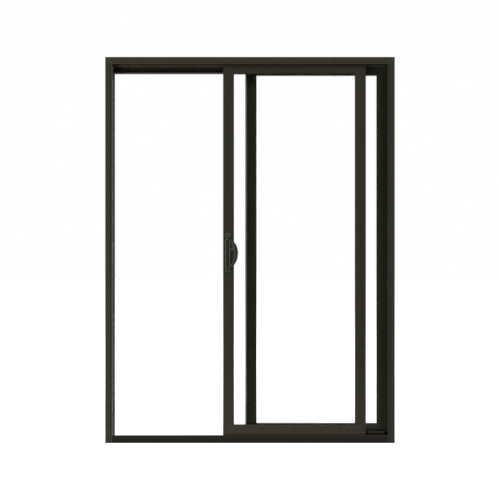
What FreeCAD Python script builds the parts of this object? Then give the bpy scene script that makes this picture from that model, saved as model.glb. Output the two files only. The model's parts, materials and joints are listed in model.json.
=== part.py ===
"""Two-panel sliding patio door with its sliding panel run open, in millimetres.

The origin is the middle of the sill's underside, Z is up, X runs along the track and
Y runs from the room (negative) to the outside (positive).
"""
import FreeCAD, Part
import math
import os

Vector = FreeCAD.Vector

# Overall frame
FRAME_WIDTH = 1514.0
FRAME_HEIGHT = 2019.0
FRAME_DEPTH = 116.0
FRAME_FRONT = -58.0
FRAME_FACE = 36.0
FRAME_WEB = 25.0
FRAME_CORNER = 1.5
JAMB_FOOT_BEVEL = 3.0
OVERCUT = 1.0

# Legs and fins of the frame profile, as thicknesses along Y
FRONT_LEG = 10.0
MIDDLE_FIN = 3.0
LEG_ROUND = 3.0
BEAD_LINES = (10.0, 20.0)
BEAD_LINE_WIDTH = 1.6
BEAD_LINE_DEPTH = 0.7
SCREEN_GROOVE_WIDTH = 9.0
SCREEN_GROOVE_DEPTH = 7.0
SCREEN_GROOVE_INSET = 6.0

# Sill heights above its underside
SILL_FACE = 40.0
SILL_FLOOR = 17.0
SILL_FIN_TOP = 29.0
SILL_DECK_HIGH = 15.0
SILL_DECK_LOW = 9.0
SILL_NOSE = 8.0
SILL_NOSE_ROUND = 2.0
SILL_BEAD_LINE = 28.0
SCREEN_RIB_TOP = 19.0
SCREEN_RIB_WIDTH = 3.0
SCREEN_RIB_ROUND = 1.0
WEEP_LENGTH = 30.0
WEEP_HEIGHT = 4.0
WEEP_PLACES = (-480.0, 0.0, 480.0)

# Roller rib of the sill and its metal cap
RIB_WIDTH = 3.0
RIB_TOP = 30.5
TRACK_WALL = 1.0
TRACK_CROWN = 2.5
TRACK_ROUND = 2.4
TRACK_SKIRT = 8.5

# Panels
PANEL_THICKNESS = 34.0
PANEL_FACE = 56.2
PANEL_GAP = 10.0
PANEL_ROUND = 1.5
RUNNING_CLEARANCE = 5.0
EDGE_CLEARANCE = 5.5
BOTTOM_CLEARANCE = 19.8
MEETING_OVERLAP = 44.5
REST_GAP = 0.3

# Glazing
REBATE = 16.0
OUTER_LIP_SETBACK = 4.5
BEAD_DEPTH = 10.0
BEAD_SLOPE = 4.0
BEAD_ROUND = 1.0
GLASS_EDGE_ROUND = 0.5
BEAD_GAP = 0.2
PANE = 3.0
PANE_COVER = 14.0
SPACER_DEPTH = 12.0
SPACER_WIDTH = 8.0
SPACER_COVER = 5.0

# Interlocking strips of the meeting stiles
HOOK_WALL = 1.5
HOOK_CLEARANCE = 2.0
FIXED_HOOK_REACH = 8.0
SLIDING_HOOK_REACH = 12.0
HOOK_END_GAP = 20.0
HOOK_STANDOFF = 2.8
HOOK_WRAP = 6.0

# Rollers
CHANNEL_WIDTH = 16.0
CHANNEL_DEPTH = 24.0
HOUSING_WALL = 1.5
HOUSING_LENGTH = 92.0
HOUSING_INSET = 95.0
HOUSING_LIFT = 1.0
WHEEL_WIDTH = 8.0
WHEEL_RADIUS = 12.6
WHEEL_GROOVE = 1.8
WHEEL_TRACK_GAP = 0.7
WHEEL_SPACING = 44.0
AXLE_RADIUS = 2.0

# Stop block in the track
STOP_LENGTH = 87.0
STOP_END_GAP = 28.0
STOP_TOP = 56.0
STOP_ROUND = 9.0
STOP_SIDE_GAP = 1.0
STOP_TRACK_GAP = 0.7
BUMPER_WIDTH = 22.0
BUMPER_HEIGHT = 20.0
BUMPER_THICKNESS = 9.0
BUMPER_ROUND = 4.0
BUMPER_DROP = 2.0

# Head filler over the open half
FILLER_DROP = 75.0
FILLER_WALL = 8.0
FILLER_LIP_HEIGHT = 8.0
FILLER_LIP_SETBACK = 7.0
FILLER_ROUND = 1.5

# Riser under the fixed panel
ADAPTER_LIP_HEIGHT = 9.0
ADAPTER_LIP_WIDTH = 4.0
ADAPTER_ROUND = 1.5

# Weatherstrips
PILE_WIDTH = 8.0
PILE_GAP = 0.5
HEAD_SEAL_DROP = 9.0

# Lock and handles
HANDLE_HEIGHT = 994.0
HANDLE_FROM_EDGE = 24.0
PLATE_WIDTH = 26.0
PLATE_HEIGHT = 206.0
PLATE_THICKNESS = 8.0
PLATE_BORDER = 3.5
PLATE_SINK = 1.5
PLATE_PAD = 29.0
SCREW_SPACING = 183.0
SCREW_RECESS_RADIUS = 4.5
SCREW_RECESS_DEPTH = 2.0
GRIP_HEIGHT = 152.0
GRIP_SIDE = 44.0
GRIP_REACH = 42.0
GRIP_FOOT_OFFSET = 2.5
GRIP_WIDTH = 22.0
GRIP_BODY = 10.0
GRIP_BEVEL = 3.0
GRIP_ROOT = 3.0
LATCH_SWING = 86.0
LATCH_HUB_RADIUS = 6.0
LATCH_WIDTH = 8.0
LATCH_LENGTH = 39.0
LATCH_THICKNESS = 3.5
LATCH_CLEARANCE = 0.5
LATCH_SIDE_CLEARANCE = 1.0
LATCH_TIP_ROUND = 3.5
LATCH_PAD_LENGTH = 11.0
LATCH_PAD_HEIGHT = 10.0
FACEPLATE_WIDTH = 20.0
FACEPLATE_HEIGHT = 168.0
FACEPLATE_THICKNESS = 2.0
HOOK_SLOT_WIDTH = 6.0
HOOK_SLOT_HEIGHT = 46.0
HOOK_BOLT_WIDTH = 4.0
HOOK_BOLT_HEIGHT = 40.0
HOOK_BOLT_DEPTH = 14.0
HOOK_BOLT_SINK = 0.5
HOOK_THROAT = 7.0
HOOK_ROUND = 3.0
HOOK_THROAT_ROUND = 1.5
KEEPER_WIDTH = 24.0
KEEPER_HEIGHT = 120.0
KEEPER_THICKNESS = 1.5

# Installation screw holes
SCREW_HOLE_RADIUS = 2.5
JAMB_SCREW_HEIGHTS = (250.0, 750.0, 1270.0, 1770.0)
HEAD_SCREW_INSET = 97.0

# Places that follow from the sizes
FRAME_BACK = FRAME_FRONT + FRAME_DEPTH
FRONT_LEG_BACK = FRAME_FRONT + FRONT_LEG
SLIDING_FRONT = FRONT_LEG_BACK + RUNNING_CLEARANCE
SLIDING_BACK = SLIDING_FRONT + PANEL_THICKNESS
SLIDING_MIDDLE = (SLIDING_FRONT + SLIDING_BACK) / 2
FIXED_FRONT = SLIDING_BACK + PANEL_GAP
FIXED_BACK = FIXED_FRONT + PANEL_THICKNESS
FIN_FRONT = FIXED_FRONT - MIDDLE_FIN

FRAME_BOX = (-FRAME_WIDTH / 2, FRAME_WIDTH / 2, 0.0, FRAME_HEIGHT)
WEB_RIGHT = FRAME_BOX[1] - FRAME_WEB
WEB_LEFT = FRAME_BOX[0] + FRAME_WEB
WEB_TOP = FRAME_HEIGHT - FRAME_WEB
PANEL_BOTTOM = SILL_FLOOR + BOTTOM_CLEARANCE
PANEL_TOP = WEB_TOP - EDGE_CLEARANCE
PANEL_WIDTH = (WEB_RIGHT - WEB_LEFT - 2 * EDGE_CLEARANCE + MEETING_OVERLAP) / 2
STOP_END = WEB_RIGHT - STOP_END_GAP
STOP_FACE = STOP_END - STOP_LENGTH
BUMPER_FACE = STOP_FACE - BUMPER_THICKNESS
OPEN_RIGHT = BUMPER_FACE - REST_GAP
OPEN_LEFT = OPEN_RIGHT - PANEL_WIDTH
FIXED_RIGHT = WEB_RIGHT - EDGE_CLEARANCE
FIXED_LEFT = FIXED_RIGHT - PANEL_WIDTH
SLIDING_BOX = (OPEN_LEFT, OPEN_RIGHT, PANEL_BOTTOM, PANEL_TOP)
FIXED_BOX = (FIXED_LEFT, FIXED_RIGHT, PANEL_BOTTOM, PANEL_TOP)
TRACK_TOP = RIB_TOP + TRACK_CROWN
SIDES = ("left", "right", "bottom", "top")


def outline(corners, place):
    """Closed wire through (a, b) or (a, b, radius) corners, each carried into space by place."""
    starts = []
    arcs = []
    ends = []
    count = len(corners)
    for index, corner in enumerate(corners):
        here = Vector(corner[0], corner[1], 0)
        before = Vector(corners[index - 1][0], corners[index - 1][1], 0)
        after = Vector(corners[(index + 1) % count][0], corners[(index + 1) % count][1], 0)
        radius = corner[2] if len(corner) > 2 else 0
        if not radius:
            starts.append(here)
            arcs.append(None)
            ends.append(here)
            continue
        arriving = (here - before).normalize()
        leaving = (after - here).normalize()
        half_turn = arriving.getAngle(leaving) / 2
        setback = radius * math.tan(half_turn)
        inward = (leaving - arriving).normalize()
        starts.append(here - arriving * setback)
        arcs.append(here + inward * (radius / math.cos(half_turn) - radius))
        ends.append(here + leaving * setback)
    edges = []
    for index in range(count):
        if arcs[index]:
            points = [place(p.x, p.y) for p in (starts[index], arcs[index], ends[index])]
            edges.append(Part.Arc(*points).toShape())
        line = [place(p.x, p.y) for p in (ends[index], starts[(index + 1) % count])]
        if line[0].distanceToPoint(line[1]) > 1e-6:
            edges.append(Part.LineSegment(*line).toShape())
    return Part.Wire(edges)


def plate(corners, place, sweep):
    """Solid swept straight from an outline along the vector sweep."""
    return Part.Face(outline(corners, place)).extrude(sweep)


def block(low, high):
    """Box between two opposite corners."""
    size = Vector(*high) - Vector(*low)
    return Part.makeBox(size.x, size.y, size.z, Vector(*low))


def along_x(corners, start, end):
    """Solid with a (y, z) section that runs along X."""
    return plate(corners, lambda y, z: Vector(start, y, z), Vector(end - start, 0, 0))


def along_z(corners, start, end):
    """Solid with an (x, y) section that runs up Z."""
    return plate(corners, lambda x, y: Vector(x, y, start), Vector(0, 0, end - start))


def along_y(corners, start, end):
    """Solid with an (x, z) outline that runs along Y."""
    return plate(corners, lambda x, z: Vector(x, start, z), Vector(0, end - start, 0))


def side_bar(profile, side, box):
    """Bar along one side of a rectangle, its profile given as (inward, y) corners."""
    left, right, bottom, top = box
    if side in ("left", "right"):
        edge, inward = (left, 1) if side == "left" else (right, -1)
        return plate(profile, lambda u, y: Vector(edge + inward * u, y, bottom),
                     Vector(0, 0, top - bottom))
    edge, inward = (bottom, 1) if side == "bottom" else (top, -1)
    return plate(profile, lambda u, y: Vector(left, y, edge + inward * u),
                 Vector(right - left, 0, 0))


def mitre(side, box, face, gap=0.0):
    """Front outline of one side of a rectangle whose corners are cut at 45 degrees."""
    left, right, bottom, top = box
    reach = gap / 2 * math.sqrt(2)
    if side in ("left", "right"):
        edge, inner = (left, left + face) if side == "left" else (right, right - face)
        return [(edge, bottom + reach), (inner, bottom + face + reach),
                (inner, top - face - reach), (edge, top - reach)]
    edge, inner = (bottom, bottom + face) if side == "bottom" else (top, top - face)
    return [(left + reach, edge), (left + face + reach, inner),
            (right - face - reach, inner), (right - reach, edge)]


def mitred_bar(profile, side, box, face, gap=0.0):
    """Side bar with both ends cut at 45 degrees through the inner corner."""
    limits = along_y(mitre(side, box, face, gap), FRAME_FRONT - OVERCUT, FRAME_BACK + OVERCUT)
    return side_bar(profile, side, box).common(limits)


def one_solid(shape):
    """The only solid of a boolean result."""
    solids = shape.removeSplitter().Solids
    if len(solids) != 1:
        raise ValueError("expected one solid, found %d" % len(solids))
    return solids[0]


def bead_line(place):
    """Corners of a shallow V groove in the frame's front face."""
    half = BEAD_LINE_WIDTH / 2
    return [(place - half, FRAME_FRONT), (place, FRAME_FRONT + BEAD_LINE_DEPTH),
            (place + half, FRAME_FRONT)]


def frame_profile():
    """Section shared by the head and jambs: web, front leg, middle fin and rear leg."""
    front = [(0, FRAME_FRONT, FRAME_CORNER)]
    for place in BEAD_LINES:
        front += bead_line(place)
    groove_low = FRAME_BACK - SCREEN_GROOVE_INSET - SCREEN_GROOVE_WIDTH
    groove_high = FRAME_BACK - SCREEN_GROOVE_INSET
    groove_floor = FRAME_FACE - SCREEN_GROOVE_DEPTH
    return front + [
        (FRAME_FACE, FRAME_FRONT, LEG_ROUND), (FRAME_FACE, FRONT_LEG_BACK, FRAME_CORNER),
        (FRAME_WEB, FRONT_LEG_BACK), (FRAME_WEB, FIN_FRONT),
        (FRAME_FACE, FIN_FRONT), (FRAME_FACE, FIXED_FRONT),
        (FRAME_WEB, FIXED_FRONT), (FRAME_WEB, FIXED_BACK),
        (FRAME_FACE, FIXED_BACK), (FRAME_FACE, groove_low),
        (groove_floor, groove_low), (groove_floor, groove_high),
        (FRAME_FACE, groove_high), (FRAME_FACE, FRAME_BACK, FRAME_CORNER),
        (0, FRAME_BACK, FRAME_CORNER)]


def sill_profile():
    """Section of the sill: front leg, roller rib, middle fin, sloping deck and screen rib."""
    groove_back = FRAME_BACK - SCREEN_GROOVE_INSET
    rib_front = groove_back - SCREEN_GROOVE_WIDTH
    return [(0, FRAME_FRONT, FRAME_CORNER)] + bead_line(SILL_BEAD_LINE) + [
        (SILL_FACE, FRAME_FRONT, LEG_ROUND),
        (SILL_FACE, FRONT_LEG_BACK, FRAME_CORNER), (SILL_FLOOR, FRONT_LEG_BACK),
        (SILL_FLOOR, SLIDING_MIDDLE - RIB_WIDTH / 2), (RIB_TOP, SLIDING_MIDDLE - RIB_WIDTH / 2),
        (RIB_TOP, SLIDING_MIDDLE + RIB_WIDTH / 2), (SILL_FLOOR, SLIDING_MIDDLE + RIB_WIDTH / 2),
        (SILL_FLOOR, FIN_FRONT), (SILL_FIN_TOP, FIN_FRONT), (SILL_FIN_TOP, FIXED_FRONT),
        (SILL_DECK_HIGH, FIXED_FRONT), (SILL_DECK_LOW, rib_front),
        (SCREEN_RIB_TOP, rib_front, SCREEN_RIB_ROUND),
        (SCREEN_RIB_TOP, rib_front + SCREEN_RIB_WIDTH, SCREEN_RIB_ROUND),
        (SILL_DECK_LOW, rib_front + SCREEN_RIB_WIDTH), (SILL_NOSE, FRAME_BACK, SILL_NOSE_ROUND),
        (0, FRAME_BACK)]


def sill_plan():
    """Plan of the space between the jambs, which the sill is coped to fill."""
    steps = [(FRAME_FACE, FRAME_FRONT), (FRAME_FACE, FRONT_LEG_BACK),
             (FRAME_WEB, FRONT_LEG_BACK), (FRAME_WEB, FIN_FRONT),
             (FRAME_FACE, FIN_FRONT), (FRAME_FACE, FIXED_FRONT),
             (FRAME_WEB, FIXED_FRONT), (FRAME_WEB, FIXED_BACK),
             (FRAME_FACE, FIXED_BACK), (FRAME_FACE, FRAME_BACK)]
    left_end = [(FRAME_BOX[0] + inward, y) for inward, y in steps]
    right_end = [(FRAME_BOX[1] - inward, y) for inward, y in reversed(steps)]
    return left_end + right_end


def make_sill():
    """Sill coped between the jambs, with weep slots through the middle fin's foot."""
    sill = side_bar(sill_profile(), "bottom", FRAME_BOX)
    sill = sill.common(along_z(sill_plan(), -OVERCUT, SILL_FACE + OVERCUT))
    for middle in WEEP_PLACES:
        slot = block((middle - WEEP_LENGTH / 2, FIN_FRONT - OVERCUT, SILL_FLOOR),
                     (middle + WEEP_LENGTH / 2, FIXED_FRONT + OVERCUT, SILL_FLOOR + WEEP_HEIGHT))
        sill = sill.cut(slot)
    return one_solid(sill)


def make_jamb(side):
    """Jamb that is mitred to the head and stands beside the sill, with installation holes."""
    left, right, bottom, top = FRAME_BOX
    edge, inward = (left, 1) if side == "left" else (right, -1)
    inner = edge + inward * FRAME_FACE
    limits = along_y([(edge, bottom + JAMB_FOOT_BEVEL), (edge + inward * JAMB_FOOT_BEVEL, bottom),
                      (inner, bottom), (inner, top - FRAME_FACE), (edge, top)],
                     FRAME_FRONT - OVERCUT, FRAME_BACK + OVERCUT)
    jamb = side_bar(frame_profile(), side, FRAME_BOX).common(limits)
    for height in JAMB_SCREW_HEIGHTS:
        start = Vector(edge - inward * OVERCUT, SLIDING_MIDDLE, height)
        jamb = jamb.cut(Part.makeCylinder(SCREW_HOLE_RADIUS, FRAME_WEB + 2 * OVERCUT, start,
                                          Vector(inward, 0, 0)))
    return one_solid(jamb)


def make_head():
    """Head mitred to both jambs, with installation screw holes."""
    head = mitred_bar(frame_profile(), "top", FRAME_BOX, FRAME_FACE)
    for place in (FRAME_BOX[0] + HEAD_SCREW_INSET, FRAME_BOX[1] - HEAD_SCREW_INSET):
        start = Vector(place, SLIDING_MIDDLE, WEB_TOP - OVERCUT)
        head = head.cut(Part.makeCylinder(SCREW_HOLE_RADIUS, FRAME_WEB + 2 * OVERCUT, start))
    return one_solid(head)


def make_track():
    """Metal cap with a rounded crown over the sill's roller rib."""
    inner = RIB_WIDTH / 2
    outer = inner + TRACK_WALL
    foot = RIB_TOP - TRACK_SKIRT
    section = [(-outer, foot), (-outer, TRACK_TOP, TRACK_ROUND), (outer, TRACK_TOP, TRACK_ROUND),
               (outer, foot), (inner, foot), (inner, RIB_TOP), (-inner, RIB_TOP), (-inner, foot)]
    return along_x([(SLIDING_MIDDLE + c[0],) + c[1:] for c in section], WEB_LEFT, WEB_RIGHT)


def make_stop_block():
    """Moulded block that straddles the track between the open panel and the right jamb."""
    front = FRONT_LEG_BACK + STOP_SIDE_GAP
    back = FIN_FRONT - STOP_SIDE_GAP
    slot = RIB_WIDTH / 2 + TRACK_WALL + STOP_TRACK_GAP
    roof = TRACK_TOP + STOP_TRACK_GAP
    return along_x(
        [(front, SILL_FLOOR), (front, STOP_TOP, STOP_ROUND), (back, STOP_TOP, FRAME_CORNER),
         (back, SILL_FLOOR), (SLIDING_MIDDLE + slot, SILL_FLOOR), (SLIDING_MIDDLE + slot, roof),
         (SLIDING_MIDDLE - slot, roof), (SLIDING_MIDDLE - slot, SILL_FLOOR)],
        STOP_FACE, STOP_END)


def make_stop_bumper():
    """Rubber pad on the stop block, which the open panel rests against."""
    half = BUMPER_WIDTH / 2
    high = STOP_TOP - BUMPER_DROP
    low = high - BUMPER_HEIGHT
    corners = [(SLIDING_MIDDLE - half, low, BUMPER_ROUND), (SLIDING_MIDDLE - half, high, BUMPER_ROUND),
               (SLIDING_MIDDLE + half, high, BUMPER_ROUND), (SLIDING_MIDDLE + half, low, BUMPER_ROUND)]
    return along_x(corners, BUMPER_FACE, STOP_FACE)


def make_head_filler():
    """Hanging filler that closes the fixed panel's head pocket over the open half."""
    foot = FRAME_HEIGHT - FILLER_DROP
    lip_front = FIXED_FRONT + FILLER_LIP_SETBACK
    inner = FIXED_BACK - FILLER_WALL
    lip_top = foot + FILLER_LIP_HEIGHT
    return along_x([(inner, WEB_TOP), (FIXED_BACK, WEB_TOP), (FIXED_BACK, foot),
                    (lip_front, foot, FILLER_ROUND), (lip_front, lip_top, FILLER_ROUND),
                    (inner, lip_top)],
                   WEB_LEFT, FIXED_LEFT)


def make_sill_adapter(sill, right_jamb):
    """Riser on the sloping deck under the fixed panel, with a retaining lip outside it."""
    lip_back = FIXED_BACK + ADAPTER_LIP_WIDTH
    lip_top = PANEL_BOTTOM + ADAPTER_LIP_HEIGHT
    riser = along_x([(FIXED_FRONT, SILL_NOSE / 2), (FIXED_FRONT, PANEL_BOTTOM),
                     (FIXED_BACK, PANEL_BOTTOM), (FIXED_BACK, lip_top, ADAPTER_ROUND),
                     (lip_back, lip_top, ADAPTER_ROUND), (lip_back, SILL_NOSE / 2)],
                    FIXED_LEFT, WEB_RIGHT)
    return one_solid(riser.cut(sill).cut(right_jamb))


def make_weatherstrips():
    """Strips on the middle fin's front: pile along the left jamb and a flap seal under the head."""
    pile_front = SLIDING_BACK + PILE_GAP
    jamb_tip = FRAME_BOX[0] + FRAME_FACE
    head_tip = FRAME_HEIGHT - FRAME_FACE
    jamb_strip = block((jamb_tip - PILE_WIDTH, pile_front, SILL_FIN_TOP), (jamb_tip, FIN_FRONT, head_tip))
    head_strip = block((jamb_tip, pile_front, head_tip - HEAD_SEAL_DROP),
                       (-jamb_tip, FIN_FRONT, head_tip + PILE_WIDTH))
    return {"jamb_weatherstrip": jamb_strip, "head_weatherstrip": head_strip}


def make_keeper():
    """Strike plate let into the left jamb's web, with a slot for the hook bolt."""
    front = SLIDING_MIDDLE - KEEPER_WIDTH / 2
    low = HANDLE_HEIGHT - KEEPER_HEIGHT / 2
    keeper = block((WEB_LEFT - KEEPER_THICKNESS, front, low),
                   (WEB_LEFT, front + KEEPER_WIDTH, low + KEEPER_HEIGHT))
    slot = block((WEB_LEFT - KEEPER_THICKNESS, SLIDING_MIDDLE - HOOK_SLOT_WIDTH / 2,
                  HANDLE_HEIGHT - HOOK_SLOT_HEIGHT / 2),
                 (WEB_LEFT, SLIDING_MIDDLE + HOOK_SLOT_WIDTH / 2,
                  HANDLE_HEIGHT + HOOK_SLOT_HEIGHT / 2))
    return keeper, keeper.cut(slot)


def bar_profile(front, channel=False):
    """Section of a panel bar: hollow box outline, glazing rebate, outer lip, roller channel."""
    back = front + PANEL_THICKNESS
    rebate_foot = PANEL_FACE - REBATE
    lip_front = front + BEAD_DEPTH + 2 * PANE + SPACER_DEPTH
    lip_top = PANEL_FACE - OUTER_LIP_SETBACK
    profile = [(0, front, PANEL_ROUND), (rebate_foot, front), (rebate_foot, lip_front),
               (lip_top, lip_front, GLASS_EDGE_ROUND), (lip_top, back, PANEL_ROUND),
               (0, back, PANEL_ROUND)]
    if channel:
        middle = (front + back) / 2
        half = CHANNEL_WIDTH / 2
        profile += [(0, middle + half), (CHANNEL_DEPTH, middle + half),
                    (CHANNEL_DEPTH, middle - half), (0, middle - half)]
    return profile


def bead_profile(front):
    """Section of a glazing bead, sloping down towards the glass."""
    rebate_foot = PANEL_FACE - REBATE
    return [(rebate_foot, front), (rebate_foot, front + BEAD_DEPTH),
            (PANEL_FACE, front + BEAD_DEPTH), (PANEL_FACE, front + BEAD_SLOPE, GLASS_EDGE_ROUND),
            (PANEL_FACE - BEAD_SLOPE, front, BEAD_ROUND)]


def inset(box, distance):
    """Rectangle shrunk by the same distance on every side."""
    return (box[0] + distance, box[1] - distance, box[2] + distance, box[3] - distance)


def upright_sheet(box, front, thickness):
    """Flat sheet over a front-view rectangle."""
    return block((box[0], front, box[2]), (box[1], front + thickness, box[3]))


def make_panel(box, front, rollers):
    """Four mitred bars, four glazing beads and a sealed double pane."""
    parts = {}
    for side in SIDES:
        profile = bar_profile(front, rollers and side == "bottom")
        parts[side] = mitred_bar(profile, side, box, PANEL_FACE)
        parts[side + "_bead"] = mitred_bar(bead_profile(front), side, box, PANEL_FACE, BEAD_GAP)
    glass_box = inset(box, PANEL_FACE - PANE_COVER)
    inner_front = front + BEAD_DEPTH
    parts["inner_pane"] = upright_sheet(glass_box, inner_front, PANE)
    parts["outer_pane"] = upright_sheet(glass_box, inner_front + PANE + SPACER_DEPTH, PANE)
    spacer_inner = inset(box, PANEL_FACE - SPACER_COVER)
    spacer_outer = inset(box, PANEL_FACE - SPACER_COVER - SPACER_WIDTH)
    ring = upright_sheet(spacer_outer, inner_front + PANE, SPACER_DEPTH)
    parts["spacer"] = ring.cut(upright_sheet(spacer_inner, inner_front + PANE, SPACER_DEPTH))
    return parts


def make_interlocks():
    """Hooked strips of the meeting stiles, which engage when the door closes."""
    low = PANEL_BOTTOM + HOOK_END_GAP
    high = PANEL_TOP - HOOK_END_GAP
    fixed_front = SLIDING_BACK + HOOK_CLEARANCE
    left = FIXED_LEFT - HOOK_STANDOFF
    fixed = along_z([(left, FIXED_FRONT + HOOK_WRAP), (left, fixed_front),
                     (left + FIXED_HOOK_REACH, fixed_front),
                     (left + FIXED_HOOK_REACH, fixed_front + HOOK_WALL),
                     (left + HOOK_WALL, fixed_front + HOOK_WALL), (left + HOOK_WALL, FIXED_FRONT),
                     (FIXED_LEFT, FIXED_FRONT), (FIXED_LEFT, FIXED_FRONT + HOOK_WRAP)], low, high)
    closing = MEETING_OVERLAP + HOOK_STANDOFF - HOOK_WALL - HOOK_CLEARANCE
    tip = OPEN_RIGHT - closing
    root = tip + SLIDING_HOOK_REACH
    finger_front = fixed_front + HOOK_WALL + HOOK_CLEARANCE
    finger_back = finger_front + HOOK_WALL
    sliding = along_z([(root, SLIDING_BACK), (root, finger_back), (tip, finger_back),
                       (tip, finger_front), (root - HOOK_WALL, finger_front),
                       (root - HOOK_WALL, SLIDING_BACK)], low, high)
    return fixed, sliding


def roller_places():
    """Middles of the two roller housings along X."""
    return (OPEN_LEFT + HOUSING_INSET, OPEN_RIGHT - HOUSING_INSET)


def make_housings():
    """Two folded housings that fill the bottom rail's roller channel."""
    outer = CHANNEL_WIDTH / 2
    inner = outer - HOUSING_WALL
    roof = PANEL_BOTTOM + CHANNEL_DEPTH
    foot = PANEL_BOTTOM + HOUSING_LIFT
    section = [(-outer, foot), (-outer, roof), (outer, roof), (outer, foot), (inner, foot),
               (inner, roof - HOUSING_WALL), (-inner, roof - HOUSING_WALL), (-inner, foot)]
    moved = [(SLIDING_MIDDLE + y, z) for y, z in section]
    return Part.Compound([along_x(moved, middle - HOUSING_LENGTH / 2, middle + HOUSING_LENGTH / 2)
                          for middle in roller_places()])


def make_wheel(place):
    """Grooved wheel with its axle, turned about Y."""
    axle_height = TRACK_TOP + REST_GAP + WHEEL_RADIUS - WHEEL_GROOVE
    half = WHEEL_WIDTH / 2
    axle_half = CHANNEL_WIDTH / 2 - HOUSING_WALL
    groove_half = RIB_WIDTH / 2 + TRACK_WALL + WHEEL_TRACK_GAP
    floor_half = groove_half / 3
    section = [(0, -axle_half), (AXLE_RADIUS, -axle_half), (AXLE_RADIUS, -half),
               (WHEEL_RADIUS, -half), (WHEEL_RADIUS, -groove_half),
               (WHEEL_RADIUS - WHEEL_GROOVE, -floor_half), (WHEEL_RADIUS - WHEEL_GROOVE, floor_half),
               (WHEEL_RADIUS, groove_half), (WHEEL_RADIUS, half),
               (AXLE_RADIUS, half), (AXLE_RADIUS, axle_half), (0, axle_half)]
    face = Part.Face(outline(section, lambda r, y: Vector(place + r, SLIDING_MIDDLE + y, axle_height)))
    return face.revolve(Vector(place, SLIDING_MIDDLE, axle_height), Vector(0, 1, 0), 360)


def make_wheels():
    """Two wheels in each housing."""
    return Part.Compound([make_wheel(middle + end * WHEEL_SPACING / 2)
                          for middle in roller_places() for end in (-1, 1)])


def stadium(middle, width, low, high):
    """Upright outline with round ends, as (x, z, radius) corners."""
    half = width / 2
    return [(middle - half, low, half), (middle + half, low, half),
            (middle + half, high, half), (middle - half, high, half)]


def make_plate(face, outward):
    """Cast plate with a sunk field between two end pads, each with a recess for a screw head.

    face is the Y of the stile's face, and outward is -1 on the room side and 1 outside.
    """
    middle = OPEN_LEFT + HANDLE_FROM_EDGE
    low = HANDLE_HEIGHT - PLATE_HEIGHT / 2
    high = HANDLE_HEIGHT + PLATE_HEIGHT / 2
    top = face + outward * PLATE_THICKNESS
    body = along_y(stadium(middle, PLATE_WIDTH, low, high), face, top)
    field = along_y(stadium(middle, PLATE_WIDTH - 2 * PLATE_BORDER, low + PLATE_PAD, high - PLATE_PAD),
                    top - outward * PLATE_SINK, top)
    body = body.cut(field)
    for end in (-1, 1):
        seat = Vector(middle, top - outward * SCREW_RECESS_DEPTH, HANDLE_HEIGHT + end * SCREW_SPACING / 2)
        body = body.cut(Part.makeCylinder(SCREW_RECESS_RADIUS, SCREW_RECESS_DEPTH + OVERCUT, seat,
                                          Vector(0, outward, 0)))
    return body


def make_grip(face, outward):
    """Bowed grip: a bevelled section turned along one arc that leans to the side of the plate."""
    foot_x = OPEN_LEFT + HANDLE_FROM_EDGE + GRIP_FOOT_OFFSET
    floor = face + outward * (PLATE_THICKNESS - PLATE_SINK)
    seat = floor - outward * GRIP_ROOT
    foot_low = Vector(foot_x, seat, HANDLE_HEIGHT - GRIP_HEIGHT / 2)
    foot_high = Vector(foot_x, seat, HANDLE_HEIGHT + GRIP_HEIGHT / 2)
    apex = Vector(foot_x + GRIP_SIDE, seat + outward * GRIP_REACH, HANDLE_HEIGHT)
    bow = Part.Arc(foot_low, apex, foot_high).toShape()
    circle = bow.Curve
    inward = (circle.Center - foot_low).normalize()
    wide = GRIP_WIDTH / 2
    thin = GRIP_BODY / 2
    quarter = [(wide, thin - GRIP_BEVEL), (wide - GRIP_BEVEL, thin)]
    half = quarter + [(-a, b) for a, b in reversed(quarter)]
    section = half + [(-a, -b) for a, b in half]
    face_of_section = Part.Face(outline(section, lambda a, b: foot_low + circle.Axis * a + inward * b))
    turn = math.degrees(bow.LastParameter - bow.FirstParameter)
    grip = face_of_section.revolve(circle.Center, circle.Axis, turn)
    behind = sorted([seat - outward * GRIP_HEIGHT, floor - outward * OVERCUT])
    root = block((foot_x - GRIP_HEIGHT, behind[0], foot_low.z - GRIP_HEIGHT),
                 (foot_x + GRIP_HEIGHT, behind[1], foot_high.z + GRIP_HEIGHT))
    return grip.cut(root)


def make_handle(face, outward):
    """Pull handle: plate and grip cast in one piece."""
    return one_solid(make_plate(face, outward).fuse(make_grip(face, outward)))


def make_latch_pocket():
    """Space behind the room side plate for the thumb lever, open at the plate's right side."""
    hub_x = OPEN_LEFT + HANDLE_FROM_EDGE
    half = LATCH_HUB_RADIUS + LATCH_CLEARANCE
    side = PLATE_WIDTH / 2 + OVERCUT
    swing = math.radians(LATCH_SWING / 2)
    spread = side * math.tan(swing) + LATCH_WIDTH / 2 / math.cos(swing) + LATCH_SIDE_CLEARANCE
    depth = LATCH_THICKNESS + 2 * LATCH_CLEARANCE
    return along_y([(hub_x - half, HANDLE_HEIGHT - half, LATCH_CLEARANCE),
                    (hub_x + side, HANDLE_HEIGHT - spread), (hub_x + side, HANDLE_HEIGHT + spread),
                    (hub_x - half, HANDLE_HEIGHT + half, LATCH_CLEARANCE)],
                   SLIDING_FRONT - depth, SLIDING_FRONT)


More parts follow.
